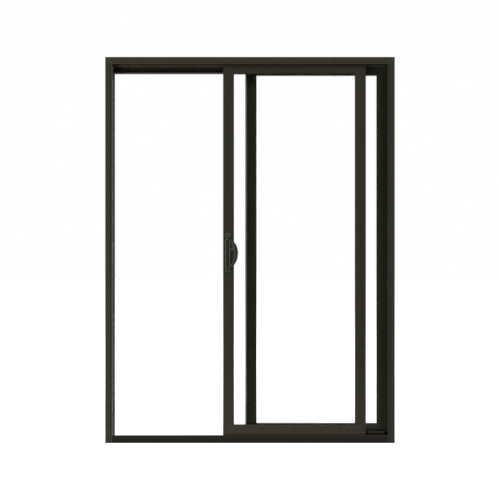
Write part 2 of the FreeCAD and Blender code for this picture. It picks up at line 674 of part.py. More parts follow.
def make_thumb_latch():
    """Lever with a thumb pad that turns about Y in the plate's pocket, here swung up, unlocked."""
    hub = Vector(OPEN_LEFT + HANDLE_FROM_EDGE, SLIDING_FRONT - LATCH_CLEARANCE, HANDLE_HEIGHT)
    half = LATCH_WIDTH / 2
    tip = hub.x + LATCH_LENGTH
    pad_start = tip - LATCH_PAD_LENGTH
    lever = Part.makeCylinder(LATCH_HUB_RADIUS, LATCH_THICKNESS, hub, Vector(0, -1, 0))
    for start, height in ((hub.x, LATCH_THICKNESS), (pad_start, LATCH_PAD_HEIGHT)):
        lever = lever.fuse(along_y([(start, hub.z - half), (tip, hub.z - half, LATCH_TIP_ROUND),
                                    (tip, hub.z + half, LATCH_TIP_ROUND), (start, hub.z + half)],
                                   hub.y, hub.y - height))
    lever = one_solid(lever)
    lever.rotate(hub, Vector(0, 1, 0), -LATCH_SWING / 2)
    return lever


def make_lock():
    """Faceplate let into the lock stile's edge, and the hook bolt drawn back in its slot."""
    front = SLIDING_MIDDLE - FACEPLATE_WIDTH / 2
    low = HANDLE_HEIGHT - FACEPLATE_HEIGHT / 2
    faceplate = block((OPEN_LEFT, front, low),
                      (OPEN_LEFT + FACEPLATE_THICKNESS, front + FACEPLATE_WIDTH,
                       low + FACEPLATE_HEIGHT))
    slot = block((OPEN_LEFT, SLIDING_MIDDLE - HOOK_SLOT_WIDTH / 2,
                  HANDLE_HEIGHT - HOOK_SLOT_HEIGHT / 2),
                 (OPEN_LEFT + HOOK_BOLT_DEPTH, SLIDING_MIDDLE + HOOK_SLOT_WIDTH / 2,
                  HANDLE_HEIGHT + HOOK_SLOT_HEIGHT / 2))
    nose = OPEN_LEFT + HOOK_BOLT_SINK
    hook_low = HANDLE_HEIGHT - HOOK_BOLT_HEIGHT / 2
    hook_high = HANDLE_HEIGHT + HOOK_BOLT_HEIGHT / 2
    bolt = along_y([(nose, hook_low, HOOK_ROUND), (nose, hook_high, HOOK_ROUND),
                    (OPEN_LEFT + HOOK_BOLT_DEPTH, hook_high),
                    (OPEN_LEFT + HOOK_BOLT_DEPTH, hook_low + HOOK_THROAT),
                    (nose + HOOK_THROAT, hook_low + HOOK_THROAT, HOOK_THROAT_ROUND),
                    (nose + HOOK_THROAT, hook_low)],
                   SLIDING_MIDDLE - HOOK_BOLT_WIDTH / 2, SLIDING_MIDDLE + HOOK_BOLT_WIDTH / 2)
    return faceplate, slot, bolt


def make_frame():
    """Head, jambs, sill and the pieces fixed to them."""
    nodes = {}
    sill = make_sill()
    keeper_blank, keeper = make_keeper()
    left_jamb = one_solid(make_jamb("left").cut(keeper_blank))
    right_jamb = make_jamb("right")
    nodes["head_frame"] = make_head()
    nodes["sill_frame"] = sill
    nodes["left_jamb"] = left_jamb
    nodes["right_jamb"] = right_jamb
    nodes["strike_keeper"] = keeper
    nodes["roller_track"] = make_track()
    nodes["stop_block"] = make_stop_block()
    nodes["stop_bumper"] = make_stop_bumper()
    nodes["head_filler"] = make_head_filler()
    nodes["fixed_sill_adapter"] = make_sill_adapter(sill, right_jamb)
    nodes.update(make_weatherstrips())
    return nodes


def make_panels():
    """Fixed panel, sliding panel, and the hardware that each carries."""
    nodes = {}
    fixed_names = {"left": "fixed_meeting_stile", "right": "fixed_jamb_stile",
                   "bottom": "fixed_bottom_rail", "top": "fixed_top_rail"}
    sliding_names = {"left": "sliding_lock_stile", "right": "sliding_meeting_stile",
                     "bottom": "sliding_bottom_rail", "top": "sliding_top_rail"}
    for key, shape in make_panel(FIXED_BOX, FIXED_FRONT, False).items():
        nodes[fixed_names.get(key, "fixed_" + key)] = shape
    for key, shape in make_panel(SLIDING_BOX, SLIDING_FRONT, True).items():
        nodes[sliding_names.get(key, "sliding_" + key)] = shape
    nodes["fixed_interlock"], nodes["sliding_interlock"] = make_interlocks()
    nodes["roller_housings"] = make_housings()
    nodes["roller_wheels"] = make_wheels()
    faceplate, slot, bolt = make_lock()
    nodes["sliding_lock_stile"] = one_solid(nodes["sliding_lock_stile"].cut(faceplate).cut(slot))
    nodes["lock_faceplate"] = faceplate.cut(slot)
    nodes["hook_bolt"] = bolt
    nodes["inner_handle"] = one_solid(make_handle(SLIDING_FRONT, -1).cut(make_latch_pocket()))
    nodes["outer_handle"] = make_handle(SLIDING_BACK, 1)
    nodes["thumb_latch"] = make_thumb_latch()
    return nodes


def main():
    """Write one STEP file for each node."""
    os.makedirs("parts", exist_ok=True)
    nodes = make_frame()
    nodes.update(make_panels())
    for name, shape in nodes.items():
        shape.exportStep("parts/%s.step" % name)
        box = shape.BoundBox
        print("%-24s solids %d volume %9.1f cm3  x %8.1f %8.1f  y %6.1f %6.1f  z %7.1f %7.1f %s" % (
            name, len(shape.Solids), shape.Volume / 1000, box.XMin, box.XMax, box.YMin, box.YMax,
            box.ZMin, box.ZMax, "ok" if shape.isValid() else "INVALID"))


main()
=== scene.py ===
import json
import math
import random

import bmesh
import bpy
from mathutils import Matrix, Vector


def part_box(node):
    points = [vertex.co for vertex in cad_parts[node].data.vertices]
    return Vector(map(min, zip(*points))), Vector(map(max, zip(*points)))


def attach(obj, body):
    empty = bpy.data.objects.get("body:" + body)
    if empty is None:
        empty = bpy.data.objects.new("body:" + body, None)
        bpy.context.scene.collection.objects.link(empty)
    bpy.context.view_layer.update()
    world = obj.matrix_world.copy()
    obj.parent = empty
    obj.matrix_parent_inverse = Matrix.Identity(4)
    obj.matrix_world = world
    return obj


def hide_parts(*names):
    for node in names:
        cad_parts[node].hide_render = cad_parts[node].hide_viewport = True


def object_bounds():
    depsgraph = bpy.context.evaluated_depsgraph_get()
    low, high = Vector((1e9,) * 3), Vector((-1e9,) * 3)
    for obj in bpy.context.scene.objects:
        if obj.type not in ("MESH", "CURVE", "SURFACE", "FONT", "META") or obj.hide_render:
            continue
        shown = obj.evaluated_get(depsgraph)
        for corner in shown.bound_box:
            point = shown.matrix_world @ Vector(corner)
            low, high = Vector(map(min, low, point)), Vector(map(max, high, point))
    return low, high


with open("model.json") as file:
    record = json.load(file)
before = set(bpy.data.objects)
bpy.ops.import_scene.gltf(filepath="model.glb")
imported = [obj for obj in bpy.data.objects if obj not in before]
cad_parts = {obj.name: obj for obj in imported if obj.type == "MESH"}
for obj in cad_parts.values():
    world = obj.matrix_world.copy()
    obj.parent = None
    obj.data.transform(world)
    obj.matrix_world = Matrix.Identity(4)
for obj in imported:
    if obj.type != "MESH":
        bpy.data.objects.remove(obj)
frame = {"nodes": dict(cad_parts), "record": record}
cad_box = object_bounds()

# Handle: its plate, the plate's middle and its screws, in metres as all sizes here are
PLATE_WIDTH = 0.026
PLATE_THICKNESS = 0.008
PLATE_SINK = 0.0015
PLATE_BORDER = 0.0035
PLATE_PAD = 0.029
HANDLE_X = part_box("inner_handle")[0].x + PLATE_WIDTH / 2
HANDLE_Z = sum(corner.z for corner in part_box("inner_handle")) / 2
HANDLE_SCREW_SPACING = 0.183
HANDLE_SCREW_SEAT = 0.006
RECESS_POINTS = 28
RECESS_ROWS = ((0.0052, HANDLE_SCREW_SEAT), (0.0052, 0.0073), (0.0054, 0.0078), (0.0058, 0.0081),
               (0.0058, 0.009))

# Grip: places of its foot and apex beside the middle line and out from the stile, and its section
GRIP_FOOT = (0.0025, 0.0035)
GRIP_APEX = (0.0438, 0.0443)
GRIP_HALF_HEIGHT = 0.0755
GRIP_DROP = 0.0022
GRIP_HALF_WIDTH = 0.0085
GRIP_SWELL = 0.0035
GRIP_SWELL_RATE = 1.4
GRIP_HALF_THICKNESS = 0.0050
GRIP_FLARE = 0.0020
GRIP_FLARE_LENGTH = 0.05
GRIP_CORNERS = 2 / 3

# Thumb latch: its lean at rest, its pocket behind the plate, and the ridges' distances from its hub
LATCH_TURN = math.radians(43)
LATCH_POCKET_DEPTH = 0.0045
LATCH_POCKET_HALF = 0.0065
LATCH_HALF_WIDTH = 0.004
LATCH_GAP = 0.001
RIDGE_PLACES = (0.0305, 0.0330, 0.0355)
RIDGE_RADIUS = 0.0005
RIDGE_HALF_LENGTH = 0.0026
RIDGE_TAPER = 0.0004

# Screw heads as (radius, height), and the places of screws and plugs, all on the rollers' line
HANDLE_SCREW = (0.0050, 0.0019)
SMALL_PLATE_SCREW = (0.0032, 0.0010)
FRAME_SCREW = (0.0042, 0.0015)
SMALL_PLATE_SCREW_INSET = 0.012
JAMB_SCREW_HEIGHTS = (0.250, 0.750, 1.270, 1.770)
HEAD_SCREW_X = 0.660
PLUG_HEIGHT = 0.036
ROLLER_LINE = -0.026
WEB_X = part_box("strike_keeper")[1].x
WEB_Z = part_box("head_filler")[1].z

# Camera, set by the outline of the frame in the photograph
CAMERA_DISTANCE = 5.300
CAMERA_LENS = 73.0
SENSOR_WIDTH = 36.0

# Light: a lamp's level is how bright it makes a white face that is turned square to it
WORLD_FILL = 0.15
KEY_AZIMUTH = 46
KEY_ELEVATION = 45
KEY_DISTANCE = 14.000
KEY_SIZE = (5.600, 5.600)
KEY_LEVEL = 0.92
FILL_AZIMUTH = -45
FILL_ELEVATION = -12
FILL_DISTANCE = 3.200
FILL_SIZE = (1.600, 0.600)
FILL_LEVEL = 0.47
BACK_AZIMUTH = 205
BACK_ELEVATION = 30
BACK_DISTANCE = 7.000
BACK_SIZE = (4.000, 3.000)
BACK_LEVEL = 0.55

# Floor: its size and colour, and its glow, which rises from near the door to far from it
FLOOR_RADIUS = 30.0
FLOOR_COLOUR = (0.50, 0.50, 0.50, 1)
FLOOR_GLOW_NEAR = 0.80
FLOOR_GLOW_FAR = 1.00
FLOOR_NEAR = 1.2
FLOOR_FAR = 3.5

# Rounding of the rigid parts' edges: its width, and in degrees what counts as flat and as an edge
EDGE_ROUND = 0.0005
FINE_EDGE_ROUND = 0.0003
FLAT_WITHIN = 0.5
EDGE_ABOVE = 35

# Gloss, grain and mottle: the roughness's spread either way, the grain's depth, and how much coarser
# than the grain the mottle is, with the span of its noise that goes from dark to light
GLOSS_SPREAD = 0.08
GRAIN_DEPTH = 0.0002
MOTTLE_COARSENESS = 40
MOTTLE_SPAN = (0.30, 0.70)

# Dust and painted light: upward lean of a face where it starts and is full, heights where it ends and is
# full, patches
# Faces that look up get dust with a painted highlight, and the foot of the door gets dust with painted light
# that makes it lighter towards the bottom.
DUST_AND_LIGHT_COLOUR = (0.115, 0.108, 0.092, 1)
DUST_AND_LIGHT_LEAN_START = 0.30
DUST_AND_LIGHT_LEAN_FULL = 0.95
FOOT_DUST_AND_LIGHT_TOP = 0.450
FOOT_DUST_AND_LIGHT_FULL = 0.040
DUST_AND_LIGHT_PATCH_SCALE = 60
DUST_AND_LIGHT_PATCH_SPAN = (0.25, 0.60)
DUST_AND_LIGHT_PATCH_BARE = 0.55

# Painted shade low on the panels, standing in for the shadow where they meet the sill: its share, the height
# where it ends and the height where it is full
FOOT_SHADE_COLOUR = (0.004, 0.0035, 0.0025, 1)
MOVING_FOOT_SHADE = (0.60, 0.0465, 0.0430)
FIXED_FOOT_SHADE = (0.75, 0.0670, 0.0610)

# Glass: its own colour, what the lamps' light keeps in passing it, its smears and its gloss aslant
GLASS_COLOUR = (0.93, 0.97, 0.95, 1)
GLASS_IOR = 1.45
GLASS_SHADE = (0.78, 0.80, 0.79, 1)
GLASS_SMEAR_ROUGHNESS = 0.003
GLASS_SMEAR_SCALE = 9.0
GLASS_GLOSS_START = 0.03
GLASS_GLOSS_FULL = 0.60
GLASS_GLOSS_SHARE = 0.12


# Meshes

def new_object(name, mesh):
    """A shown object for a mesh."""
    piece = bpy.data.objects.new(name, mesh)
    bpy.context.scene.collection.objects.link(piece)
    return piece


def mesh_of(name, build):
    """A mesh that the function build fills in as a bmesh."""
    grid = bmesh.new()
    build(grid)
    bmesh.ops.recalc_face_normals(grid, faces=grid.faces)
    mesh = bpy.data.meshes.new(name)
    grid.to_mesh(mesh)
    grid.free()
    return mesh


def smooth(mesh, sharp_above=40):
    """Shades a mesh smooth, with edges above that many degrees left sharp."""
    mesh.polygons.foreach_set("use_smooth", [True] * len(mesh.polygons))
    mesh.set_sharp_from_angle(angle=math.radians(sharp_above))


def dress(piece, material, body):
    """Gives a piece its material and its body."""
    piece.data.materials.clear()
    piece.data.materials.append(material)
    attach(piece, body)
    return piece


def lathe(grid, profile, segments=32):
    """Turns a profile of (radius, height) points round Z; it starts and ends on the axis."""
    rings = []
    for radius, height in profile:
        if radius == 0:
            rings.append([grid.verts.new((0, 0, height))])
            continue
        rings.append([grid.verts.new((radius * math.cos(2 * math.pi * i / segments),
                                      radius * math.sin(2 * math.pi * i / segments), height))
                      for i in range(segments)])
    for low, high in zip(rings, rings[1:]):
        for i in range(segments):
            j = (i + 1) % segments
            corners = [low[i % len(low)], low[j % len(low)], high[j % len(high)], high[i % len(high)]]
            grid.faces.new(list(dict.fromkeys(corners)))


def layers(grid, loops):
    """Joins a row of closed loops of points into one solid with flat ends."""
    rings = [[grid.verts.new(point) for point in loop] for loop in loops]
    for first, second in zip(rings, rings[1:]):
        for i in range(len(first)):
            j = (i + 1) % len(first)
            grid.faces.new((first[i], first[j], second[j], second[i]))
    grid.faces.new(rings[0])
    grid.faces.new(reversed(rings[-1]))


def cut_away(mesh, cutter):
    """The mesh with another mesh cut out of it."""
    body = new_object("cut_body", mesh)
    tool = new_object("cut_tool", cutter)
    cut = body.modifiers.new("cut", "BOOLEAN")
    cut.object = tool
    cut.operation = "DIFFERENCE"
    cut.solver = "EXACT"
    depsgraph = bpy.context.evaluated_depsgraph_get()
    made = bpy.data.meshes.new_from_object(body.evaluated_get(depsgraph))
    assert made.polygons, "the cut left nothing"
    bpy.data.objects.remove(body)
    bpy.data.objects.remove(tool)
    return made


# Materials

def noise(tree, scale, detail, stretch):
    """Noise on the object's own coordinates, stretched by three factors."""
    coordinates = tree.nodes.new("ShaderNodeTexCoord")
    mapping = tree.nodes.new("ShaderNodeMapping")
    mapping.inputs["Scale"].default_value = stretch
    texture = tree.nodes.new("ShaderNodeTexNoise")
    texture.inputs["Scale"].default_value = scale
    texture.inputs["Detail"].default_value = detail
    tree.links.new(coordinates.outputs["Object"], mapping.inputs["Vector"])
    tree.links.new(mapping.outputs["Vector"], texture.inputs["Vector"])
    return texture.outputs["Fac"]


def edge_mask(tree, radius, full_lean):
    """One on edges and nought on flat faces: how far the rounded normal leans from the true one."""
    rounded = tree.nodes.new("ShaderNodeBevel")
    rounded.samples = 4
    rounded.inputs["Radius"].default_value = radius
    geometry = tree.nodes.new("ShaderNodeNewGeometry")
    lean = tree.nodes.new("ShaderNodeVectorMath")
    lean.operation = "DOT_PRODUCT"
    spread = tree.nodes.new("ShaderNodeMapRange")
    spread.inputs["From Min"].default_value = 1.0
    spread.inputs["From Max"].default_value = full_lean
    tree.links.new(rounded.outputs["Normal"], lean.inputs[0])
    tree.links.new(geometry.outputs["Normal"], lean.inputs[1])
    tree.links.new(lean.outputs["Value"], spread.inputs["Value"])
    return spread.outputs["Result"]


def dust_and_light_mask(tree, on_top, at_foot):
    """How much dust and painted light lie on a point: dust with a painted highlight on faces that look up,
    and dust with painted light near the foot of the door, in patches.
    """
    geometry = tree.nodes.new("ShaderNodeNewGeometry")
    facing = tree.nodes.new("ShaderNodeSeparateXYZ")
    facing_up = tree.nodes.new("ShaderNodeMapRange")
    facing_up.inputs["From Min"].default_value = DUST_AND_LIGHT_LEAN_START
    facing_up.inputs["From Max"].default_value = DUST_AND_LIGHT_LEAN_FULL
    facing_up.inputs["To Max"].default_value = on_top
    coordinates = tree.nodes.new("ShaderNodeTexCoord")
    place = tree.nodes.new("ShaderNodeSeparateXYZ")
    near_foot = tree.nodes.new("ShaderNodeMapRange")
    near_foot.inputs["From Min"].default_value = FOOT_DUST_AND_LIGHT_TOP
    near_foot.inputs["From Max"].default_value = FOOT_DUST_AND_LIGHT_FULL
    near_foot.inputs["To Max"].default_value = at_foot
    both = tree.nodes.new("ShaderNodeMath")
    both.operation = "ADD"
    patchy = tree.nodes.new("ShaderNodeMapRange")
    patchy.inputs["From Min"].default_value, patchy.inputs["From Max"].default_value = DUST_AND_LIGHT_PATCH_SPAN
    patchy.inputs["To Min"].default_value = DUST_AND_LIGHT_PATCH_BARE
    share = tree.nodes.new("ShaderNodeMath")
    share.operation = "MULTIPLY"
    share.use_clamp = True
    tree.links.new(geometry.outputs["Normal"], facing.inputs["Vector"])
    tree.links.new(facing.outputs["Z"], facing_up.inputs["Value"])
    tree.links.new(coordinates.outputs["Object"], place.inputs["Vector"])
    tree.links.new(place.outputs["Z"], near_foot.inputs["Value"])
    tree.links.new(facing_up.outputs["Result"], both.inputs[0])
    tree.links.new(near_foot.outputs["Result"], both.inputs[1])
    tree.links.new(noise(tree, DUST_AND_LIGHT_PATCH_SCALE, 5, (1, 1, 1)), patchy.inputs["Value"])
    tree.links.new(both.outputs["Value"], share.inputs[0])
    tree.links.new(patchy.outputs["Result"], share.inputs[1])
    return share.outputs["Value"]


def painted_foot_shade_mask(tree, share, top, full):
    """How much painted shade darkens a point low on a panel: share below the height full, and none above top.
    """
    coordinates = tree.nodes.new("ShaderNodeTexCoord")
    place = tree.nodes.new("ShaderNodeSeparateXYZ")
    shaded_below = tree.nodes.new("ShaderNodeMapRange")
    shaded_below.inputs["From Min"].default_value = top
    shaded_below.inputs["From Max"].default_value = full
    shaded_below.inputs["To Max"].default_value = share
    tree.links.new(coordinates.outputs["Object"], place.inputs["Vector"])
    tree.links.new(place.outputs["Z"], shaded_below.inputs["Value"])
    return shaded_below.outputs["Result"]


def finish_of(name, colour, wear_and_highlight_colour, roughness, grain, bump, stretch=(1, 1, 1), vary=0.12, wear_and_highlight=0.35,
              worn_and_lit_width=0.0012, full_lean=0.8, dust_and_light=None, foot_shade=None, **shader_values):
    """A solid finish: mottled colour, lighter edges that are partly wear and partly painted highlight, dust
    with painted light, and painted shade low down, with grain in gloss and surface.
    """
    material = bpy.data.materials.new(name)
    material.use_nodes = True
    tree = material.node_tree
    shader = tree.nodes["Principled BSDF"]
    for socket, value in shader_values.items():
        shader.inputs[socket.replace("_", " ").title().replace("Ior", "IOR")].default_value = value

    mottle = tree.nodes.new("ShaderNodeValToRGB")
    for stop, place, share in zip(mottle.color_ramp.elements, MOTTLE_SPAN, (1 - vary, 1 + vary)):
        stop.position = place
        stop.color = [c * share for c in colour] + [1]
    tree.links.new(noise(tree, grain / MOTTLE_COARSENESS, 6, stretch), mottle.inputs["Fac"])

    # Lighter edges: partly wear, partly a painted highlight where rounded edges would catch the light.
    worn_and_lit = tree.nodes.new("ShaderNodeMixRGB")
    worn_and_lit.inputs["Color2"].default_value = (*wear_and_highlight_colour, 1)
    amount = tree.nodes.new("ShaderNodeMath")
    amount.operation = "MULTIPLY"
    amount.inputs[1].default_value = wear_and_highlight
    tree.links.new(edge_mask(tree, worn_and_lit_width, full_lean), amount.inputs[0])
    tree.links.new(amount.outputs["Value"], worn_and_lit.inputs["Fac"])
    tree.links.new(mottle.outputs["Color"], worn_and_lit.inputs["Color1"])
    surface = worn_and_lit.outputs["Color"]
    # Dust with painted light: faces that look up and the foot of the door are made paler, partly as dust,
    # partly as painted highlight and painted light.
    if dust_and_light:
        dusty_and_lit = tree.nodes.new("ShaderNodeMixRGB")
        dusty_and_lit.inputs["Color2"].default_value = DUST_AND_LIGHT_COLOUR
        tree.links.new(dust_and_light_mask(tree, *dust_and_light), dusty_and_lit.inputs["Fac"])
        tree.links.new(surface, dusty_and_lit.inputs["Color1"])
        surface = dusty_and_lit.outputs["Color"]
    # Painted shade: a near-black band low on the panels stands in for the shadow where they meet the sill and
    # the stop block.
    if foot_shade:
        shaded_foot = tree.nodes.new("ShaderNodeMixRGB")
        shaded_foot.inputs["Color2"].default_value = FOOT_SHADE_COLOUR
        tree.links.new(painted_foot_shade_mask(tree, *foot_shade), shaded_foot.inputs["Fac"])
        tree.links.new(surface, shaded_foot.inputs["Color1"])
        surface = shaded_foot.outputs["Color"]
    tree.links.new(surface, shader.inputs["Base Color"])

    fine = noise(tree, grain, 3, stretch)
    gloss = tree.nodes.new("ShaderNodeMapRange")
    gloss.inputs["To Min"].default_value = roughness - GLOSS_SPREAD
    gloss.inputs["To Max"].default_value = roughness + GLOSS_SPREAD
    tree.links.new(fine, gloss.inputs["Value"])
    tree.links.new(gloss.outputs["Result"], shader.inputs["Roughness"])

    relief = tree.nodes.new("ShaderNodeBump")
    relief.inputs["Strength"].default_value = bump
    relief.inputs["Distance"].default_value = GRAIN_DEPTH
    tree.links.new(fine, relief.inputs["Height"])
    tree.links.new(relief.outputs["Normal"], shader.inputs["Normal"])
    return material


def glass_finish():
    """Clear glass: it shades the lamps' light, and its gloss and its smears show when seen aslant."""
    material = bpy.data.materials.new("clear_glass")
    material.use_nodes = True
    tree = material.node_tree
    shader = tree.nodes["Principled BSDF"]
    shader.inputs["Base Color"].default_value = GLASS_COLOUR
    shader.inputs["Transmission Weight"].default_value = 1.0
    shader.inputs["IOR"].default_value = GLASS_IOR
    smears = tree.nodes.new("ShaderNodeMapRange")
    smears.inputs["To Max"].default_value = GLASS_SMEAR_ROUGHNESS
    tree.links.new(noise(tree, GLASS_SMEAR_SCALE, 4, (1, 1, 0.4)), smears.inputs["Value"])
    tree.links.new(smears.outputs["Result"], shader.inputs["Roughness"])

    aslant = tree.nodes.new("ShaderNodeLayerWeight")
    share = tree.nodes.new("ShaderNodeMapRange")
    share.inputs["From Min"].default_value = GLASS_GLOSS_START
    share.inputs["From Max"].default_value = GLASS_GLOSS_FULL
    share.inputs["To Max"].default_value = GLASS_GLOSS_SHARE
    clear = tree.nodes.new("ShaderNodeBsdfTransparent")
    pane = tree.nodes.new("ShaderNodeMixShader")
    tree.links.new(aslant.outputs["Facing"], share.inputs["Value"])
    tree.links.new(share.outputs["Result"], pane.inputs["Fac"])
    tree.links.new(clear.outputs["BSDF"], pane.inputs[1])
    tree.links.new(shader.outputs["BSDF"], pane.inputs[2])

    rays = tree.nodes.new("ShaderNodeLightPath")
    lighting = tree.nodes.new("ShaderNodeMath")
    lighting.operation = "MAXIMUM"
    tinted = tree.nodes.new("ShaderNodeBsdfTransparent")
    tinted.inputs["Color"].default_value = GLASS_SHADE
    mix = tree.nodes.new("ShaderNodeMixShader")
    tree.links.new(rays.outputs["Is Shadow Ray"], lighting.inputs[0])
    tree.links.new(rays.outputs["Is Diffuse Ray"], lighting.inputs[1])
    tree.links.new(lighting.outputs["Value"], mix.inputs["Fac"])
    tree.links.new(pane.outputs["Shader"], mix.inputs[1])
    tree.links.new(tinted.outputs["BSDF"], mix.inputs[2])
    tree.links.new(mix.outputs["Shader"], tree.nodes["Material Output"].inputs["Surface"])
    return material


def seen_directly(tree):
    """One for rays from the camera and for those mirrored or passed on by gloss and glass."""
    rays = tree.nodes.new("ShaderNodeLightPath")
    seen = rays.outputs["Is Camera Ray"]
    for kind in ("Is Glossy Ray", "Is Transmission Ray"):
        either = tree.nodes.new("ShaderNodeMath")
        either.operation = "MAXIMUM"
        tree.links.new(seen, either.inputs[0])
        tree.links.new(rays.outputs[kind], either.inputs[1])
        seen = either.outputs["Value"]
    return seen


# Stretch of the grain along level and upright bars, and the vinyl's colours
ALONG_X = (0.03, 1, 1)
ALONG_Z = (1, 1, 0.03)
VINYL_WEAR_AND_HIGHLIGHT = (0.09, 0.085, 0.07)
# The jambs are the same vinyl as the head but given a darker colour: painted shade.
SHADED_JAMB_COLOUR = (0.0200, 0.0170, 0.0123)
HEAD_COLOUR = (0.0255, 0.0218, 0.0158)
PANEL_COLOUR = (0.0256, 0.0234, 0.0158)
SILL_COLOUR = (0.0146, 0.0127, 0.0092)


def vinyl(name, colour, stretch, dust_and_light, worn_and_lit_width=0.0012, full_lean=0.8, foot_shade=None):
    """Satin bronze vinyl with faint streaks along the extrusion."""
    return finish_of(name, colour, VINYL_WEAR_AND_HIGHLIGHT, 0.45, 1400, 0.25, stretch=stretch, wear_and_highlight=0.55,
                     worn_and_lit_width=worn_and_lit_width, full_lean=full_lean, dust_and_light=dust_and_light, foot_shade=foot_shade,
                     specular_ior_level=0.05)


MATERIALS = {
    # The frame's wide, strong edge lightening is mostly a painted highlight along its rounded edges.
    "frame_vinyl": vinyl("bronze_vinyl_upright", SHADED_JAMB_COLOUR, ALONG_Z, (0.2, 0.05), 0.009, 0.95),
    "head_vinyl": vinyl("bronze_vinyl_level", HEAD_COLOUR, ALONG_X, (0.2, 0.0), 0.009, 0.95),
    "sill_vinyl": vinyl("bronze_vinyl_sill", SILL_COLOUR, ALONG_X, (0.36, 0.0)),
    "panel_vinyl": vinyl("panel_vinyl_upright", PANEL_COLOUR, ALONG_Z, (0.06, 0.13), foot_shade=MOVING_FOOT_SHADE),
    "rail_vinyl": vinyl("panel_vinyl_level", PANEL_COLOUR, ALONG_X, (0.02, 0.19), foot_shade=MOVING_FOOT_SHADE),
    "fixed_foot_shaded_vinyl": vinyl("fixed_panel_foot_painted_shade", PANEL_COLOUR, ALONG_X, (0.02, 0.19), foot_shade=FIXED_FOOT_SHADE),
    "spacer": finish_of("black_spacer", (0.012, 0.012, 0.012), (0.05, 0.05, 0.05), 0.5, 900, 0.2,
                        specular_ior_level=0.2),
    "pile": finish_of("grey_pile", (0.56, 0.53, 0.49), (0.60, 0.58, 0.54), 0.9, 2600, 0.6, vary=0.25,
                      specular_ior_level=0.1),
    "seal": finish_of("dark_seal", (0.050, 0.047, 0.032), (0.05, 0.05, 0.05), 0.7, 1800, 0.4,
                      specular_ior_level=0.05),
    "interlock": finish_of("grey_interlock", (0.220, 0.212, 0.190), (0.3, 0.29, 0.28), 0.5, 1400, 0.25,
                           stretch=ALONG_Z, specular_ior_level=0.3),
    "track_metal": finish_of("mill_track", (0.42, 0.41, 0.38), (0.6, 0.6, 0.57), 0.38, 2200, 0.3,
                             stretch=(0.02, 1, 1), metallic=1.0),
    "steel": finish_of("plated_steel", (0.36, 0.35, 0.32), (0.55, 0.54, 0.5), 0.34, 2200, 0.3,
                       stretch=(1, 1, 0.05), metallic=1.0),
    "wheel": finish_of("ground_wheel", (0.30, 0.29, 0.27), (0.5, 0.5, 0.48), 0.3, 2200, 0.3, metallic=1.0),
    "rubber": finish_of("black_rubber", (0.004, 0.004, 0.004), (0.02, 0.02, 0.02), 0.75, 1800, 0.5,
                        specular_ior_level=0.0),
    "stop_plastic": finish_of("black_plastic", (0.0065, 0.0060, 0.0040), (0.05, 0.047, 0.040), 0.6, 1200, 0.3,
                              dust_and_light=(0.25, 0.0), specular_ior_level=0.01),
    # The plate's lighter rims and the grip's and latch's lighter ridges are partly wear, partly painted
    # highlight.
    "bronze_hardware": finish_of("rubbed_bronze", (0.020, 0.018, 0.012), (0.36, 0.34, 0.295), 0.26, 700, 0.12,
                                 wear_and_highlight=0.9, worn_and_lit_width=0.0025, full_lean=0.92, specular_ior_level=0.08),
    "worn_highlit_bronze": finish_of("worn_highlit_bronze", (0.018, 0.017, 0.013), (0.30, 0.285, 0.25), 0.28, 700, 0.12,
                             wear_and_highlight=0.8, worn_and_lit_width=0.0030, full_lean=0.93, specular_ior_level=0.12),
    "dark_screw": finish_of("blackened_screw", (0.005, 0.0046, 0.0035), (0.02, 0.018, 0.015), 0.5, 900, 0.2,
                            wear_and_highlight=0.2, specular_ior_level=0.02),
    "glass": glass_finish(),
}

# Finishes that a node has in place of its slot's own, and the nodes that lie level or are finely made
LEVEL_FINISHES = {"frame_vinyl": "head_vinyl", "panel_vinyl": "rail_vinyl"}
NODE_FINISHES = {"sill_frame": "sill_vinyl", "fixed_sill_adapter": "sill_vinyl",
                 "fixed_bottom_rail": "fixed_foot_shaded_vinyl", "thumb_latch": "worn_highlit_bronze"}
LEVEL_NODES = ("head_frame", "head_filler", "top_rail", "bottom_rail", "top_bead", "bottom_bead")
FINE_NODES = ("inner_handle", "outer_handle", "thumb_latch", "strike_keeper", "lock_faceplate", "hook_bolt",
              "roller_track", "roller_housings", "roller_wheels")


def finish_for(name, slot):
    """The finish of a CAD node: one of its own, the one streaked along a level bar, or its slot's."""
    if name in NODE_FINISHES:
        return MATERIALS[NODE_FINISHES[name]]
    if name.endswith(LEVEL_NODES):
        return MATERIALS[LEVEL_FINISHES[slot]]
    return MATERIALS[slot]


def dress_cad_nodes():
    """Gives each CAD node its finish and rounds its sharp edges."""
    slots = {row["node"]: row["material_slot"] for row in frame["record"]["subparts"]}
    for name, node in frame["nodes"].items():
        node.data.materials.clear()
        node.data.materials.append(finish_for(name, slots[name]))
        if slots[name] == "glass":
            continue
        flat = node.modifiers.new("join_flat_faces", "DECIMATE")
        flat.decimate_type = "DISSOLVE"
        flat.angle_limit = math.radians(FLAT_WITHIN)
        edges = node.modifiers.new("round_edges", "BEVEL")
        edges.width = FINE_EDGE_ROUND if name in FINE_NODES else EDGE_ROUND
        edges.segments = 2
        edges.limit_method = "ANGLE"
        edges.angle_limit = math.radians(EDGE_ABOVE)
        edges.harden_normals = True
        edges.miter_outer = "MITER_ARC"


def make_camera():
    """Camera straight in front of the frame's middle."""
    low, high = cad_box
    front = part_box("head_frame")[0].y
    camera = bpy.data.objects.new("camera", bpy.data.cameras.new("camera"))
    camera.data.sensor_width = SENSOR_WIDTH
    camera.data.lens = CAMERA_LENS
    camera.location = ((low.x + high.x) / 2, front - CAMERA_DISTANCE, (low.z + high.z) / 2)
    camera.rotation_euler = (math.pi / 2, 0, 0)
    bpy.context.scene.collection.objects.link(camera)
    bpy.context.scene.camera = camera


